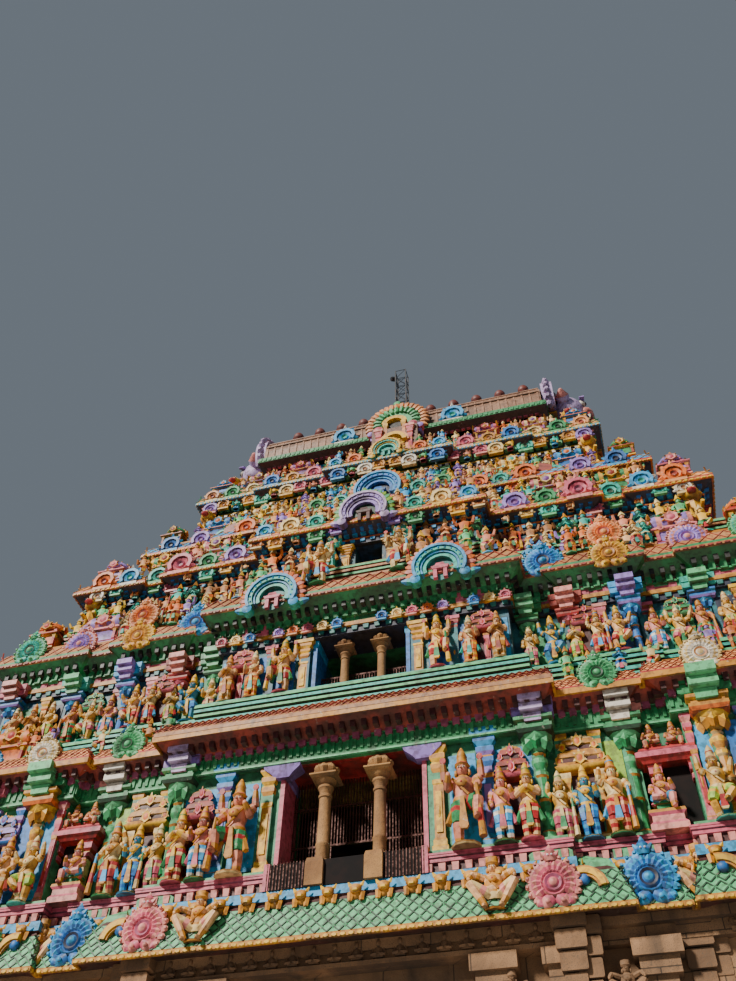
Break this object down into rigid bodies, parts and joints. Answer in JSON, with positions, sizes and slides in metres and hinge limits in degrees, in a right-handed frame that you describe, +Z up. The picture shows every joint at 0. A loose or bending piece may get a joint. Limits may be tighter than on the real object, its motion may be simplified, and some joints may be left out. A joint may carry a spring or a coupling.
{
  "type": "temple gateway tower",
  "caption": "Stepped temple gateway tower: stone base with a through passage, painted storeys with cornices, figures and small shrines, barrel roof with pot finials and a mast.",
  "frame": {"origin": "middle of the footprint, at ground level", "axes": "+Z up, front towards -Y, width along X"},
  "size_m": [25.62, 14.3, 37.05],
  "materials": {
    "granite": "weathered carved granite",
    "mint_plaster": "painted lime plaster, matte",
    "terracotta_plaster": "painted lime plaster, matte",
    "green_plaster": "painted lime plaster, matte",
    "blue_plaster": "painted lime plaster, matte",
    "turquoise_plaster": "painted lime plaster, matte",
    "cream_plaster": "painted lime plaster, matte",
    "figure_plaster": "painted lime plaster in many colours, matte",
    "shrine_plaster": "painted lime plaster in many colours, matte",
    "column_stone": "carved granite, worn",
    "rusty_iron": "rusty iron bars",
    "roof_plaster": "painted lime plaster tiles, matte",
    "lilac_plaster": "painted lime plaster, matte",
    "peach_plaster": "painted lime plaster, matte",
    "finial_clay": "brown-red fired clay",
    "dark_steel": "dark painted steel"
  },
  "bodies": {
    "root": {"plinth_left": "granite", "plinth_right": "granite", "gate_pier_left": "granite", "gate_pier_right": "granite", "gate_upper_wall": "granite", "stone_beam": "granite", "cornice_0": "mint_plaster", "storey_1_front_left_inner_wall": "mint_plaster", "storey_1_front_left_lintel": "mint_plaster", "storey_1_front_left_outer_wall": "mint_plaster", "storey_1_front_right_inner_wall": "mint_plaster", "storey_1_front_right_lintel": "mint_plaster", "storey_1_front_right_outer_wall": "mint_plaster", "storey_1_back_left_inner_wall": "mint_plaster", "storey_1_back_left_lintel": "mint_plaster", "storey_1_back_left_outer_wall": "mint_plaster", "storey_1_back_right_inner_wall": "mint_plaster", "storey_1_back_right_lintel": "mint_plaster", "storey_1_back_right_outer_wall": "mint_plaster", "cornice_1": "terracotta_plaster", "cornice_4": "terracotta_plaster", "cornice_2": "green_plaster", "cornice_5": "green_plaster", "roof_eave": "green_plaster", "cornice_3": "blue_plaster", "storey_2_left_wall": "turquoise_plaster", "storey_2_right_wall": "turquoise_plaster", "storey_3_left_wall": "cream_plaster", "storey_3_right_wall": "cream_plaster", "storey_4_wall": "cream_plaster", "storey_5_wall": "cream_plaster", "neck_wall": "cream_plaster", "storey_1_figures": "figure_plaster", "storey_2_figures": "figure_plaster", "storey_3_figures": "figure_plaster", "storey_4_figures": "figure_plaster", "storey_5_figures": "figure_plaster", "parapet_2": "shrine_plaster", "parapet_3": "shrine_plaster", "parapet_4": "shrine_plaster", "parapet_5": "shrine_plaster", "parapet_6": "shrine_plaster", "storey_1_front_columns": "column_stone", "storey_1_back_columns": "column_stone", "storey_2_front_columns": "column_stone", "storey_2_back_columns": "column_stone", "storey_1_front_grille": "rusty_iron", "storey_1_back_grille": "rusty_iron", "storey_2_front_grille": "rusty_iron", "storey_2_back_grille": "rusty_iron", "roof_vault": "roof_plaster", "gable_left": "lilac_plaster", "gable_right": "lilac_plaster", "dormer_front": "peach_plaster", "dormer_back": "peach_plaster", "ridge_finials": "finial_clay", "mast": "dark_steel"}
  },
  "joints": []
}
